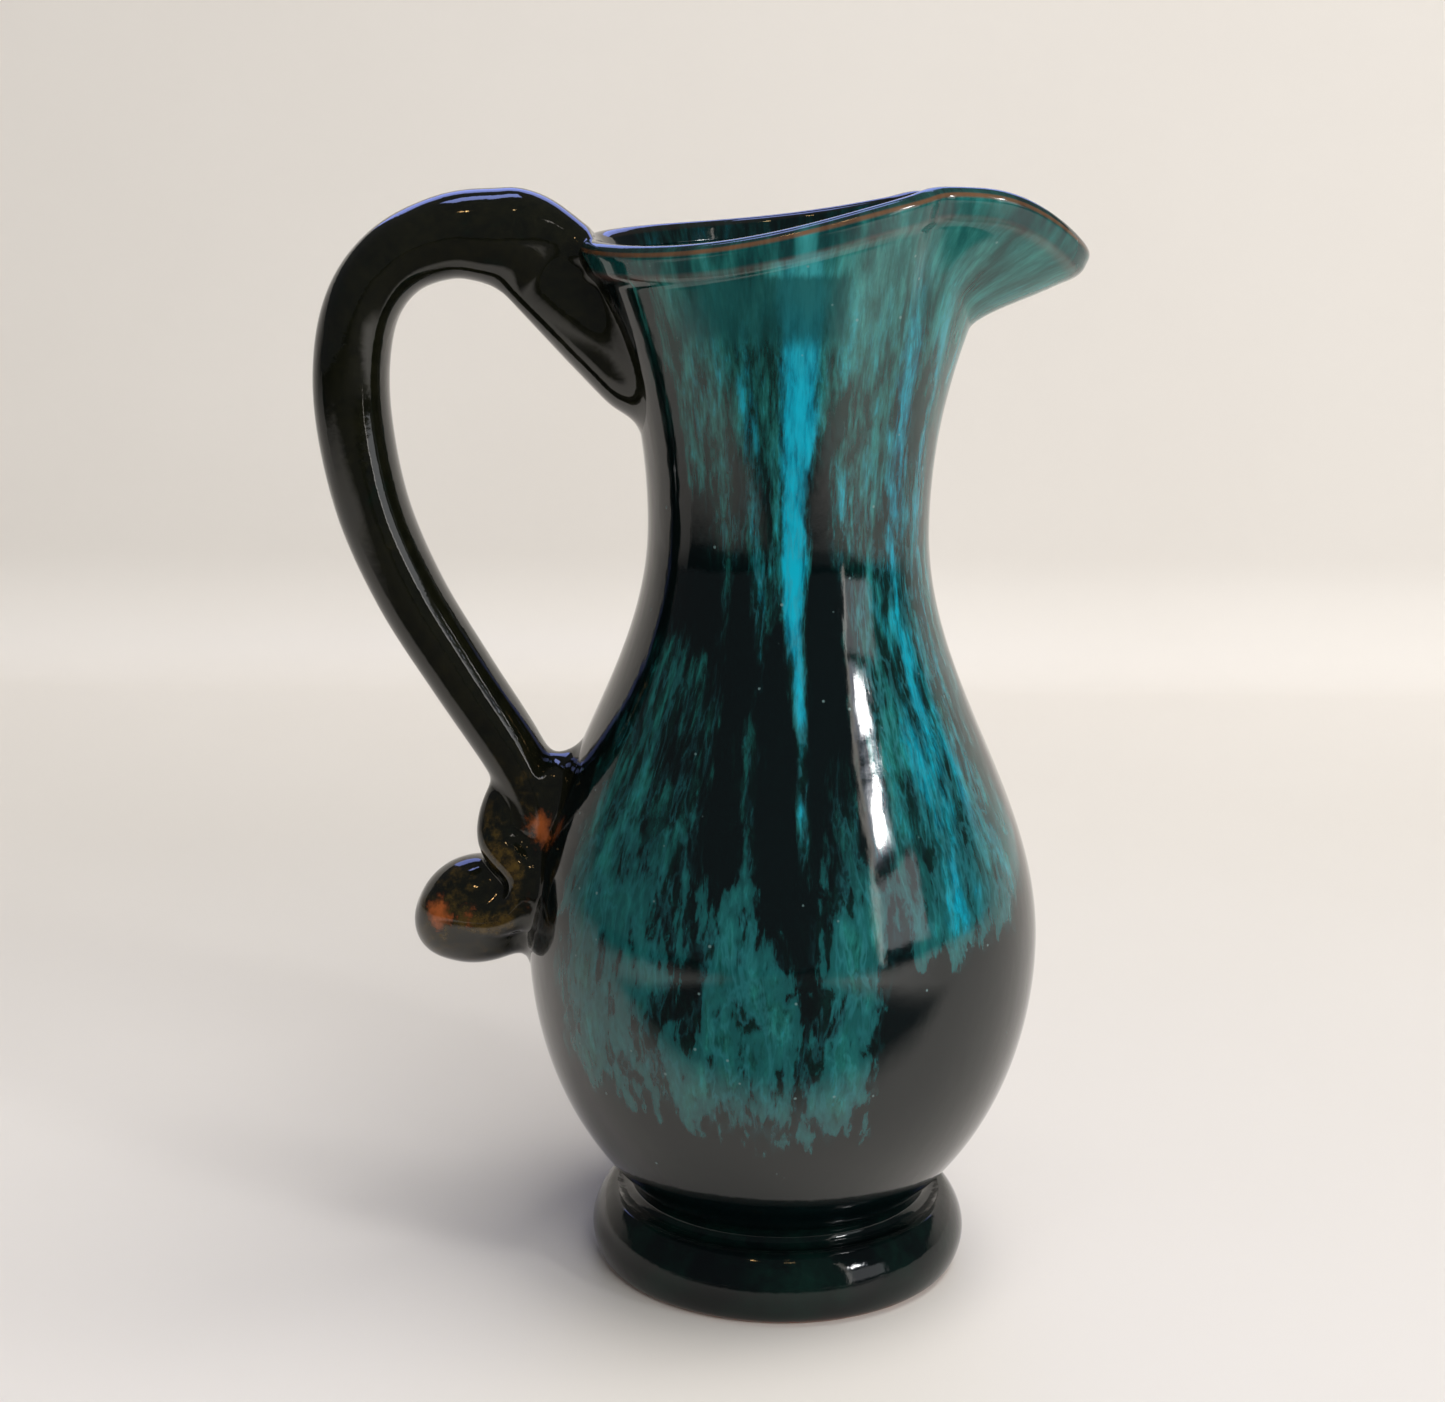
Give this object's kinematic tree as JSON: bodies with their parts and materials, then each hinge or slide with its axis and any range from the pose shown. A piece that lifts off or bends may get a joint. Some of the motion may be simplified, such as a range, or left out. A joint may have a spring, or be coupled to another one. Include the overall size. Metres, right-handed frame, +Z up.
{
  "type": "ceramic pitcher",
  "caption": "Glazed ceramic pitcher with a round belly, slim neck, pinched spout, looped strap handle with a rolled tail, and a turned foot.",
  "frame": {"origin": "centre of the standing face of the foot", "axes": "+Z up, +X out over the spout, -X out over the handle"},
  "size_m": [0.1214, 0.084, 0.1777],
  "materials": {
    "drip_glaze": "gloss, teal streaks over black",
    "dark_glaze": "gloss black-green",
    "olive_glaze": "gloss black-olive, breaking to orange-brown"
  },
  "bodies": {
    "root": {"vessel": "drip_glaze", "foot_ring": "dark_glaze", "handle_pad": "dark_glaze", "handle_strap": "olive_glaze", "handle_curl": "olive_glaze", "tail_pad": "dark_glaze"}
  },
  "joints": []
}
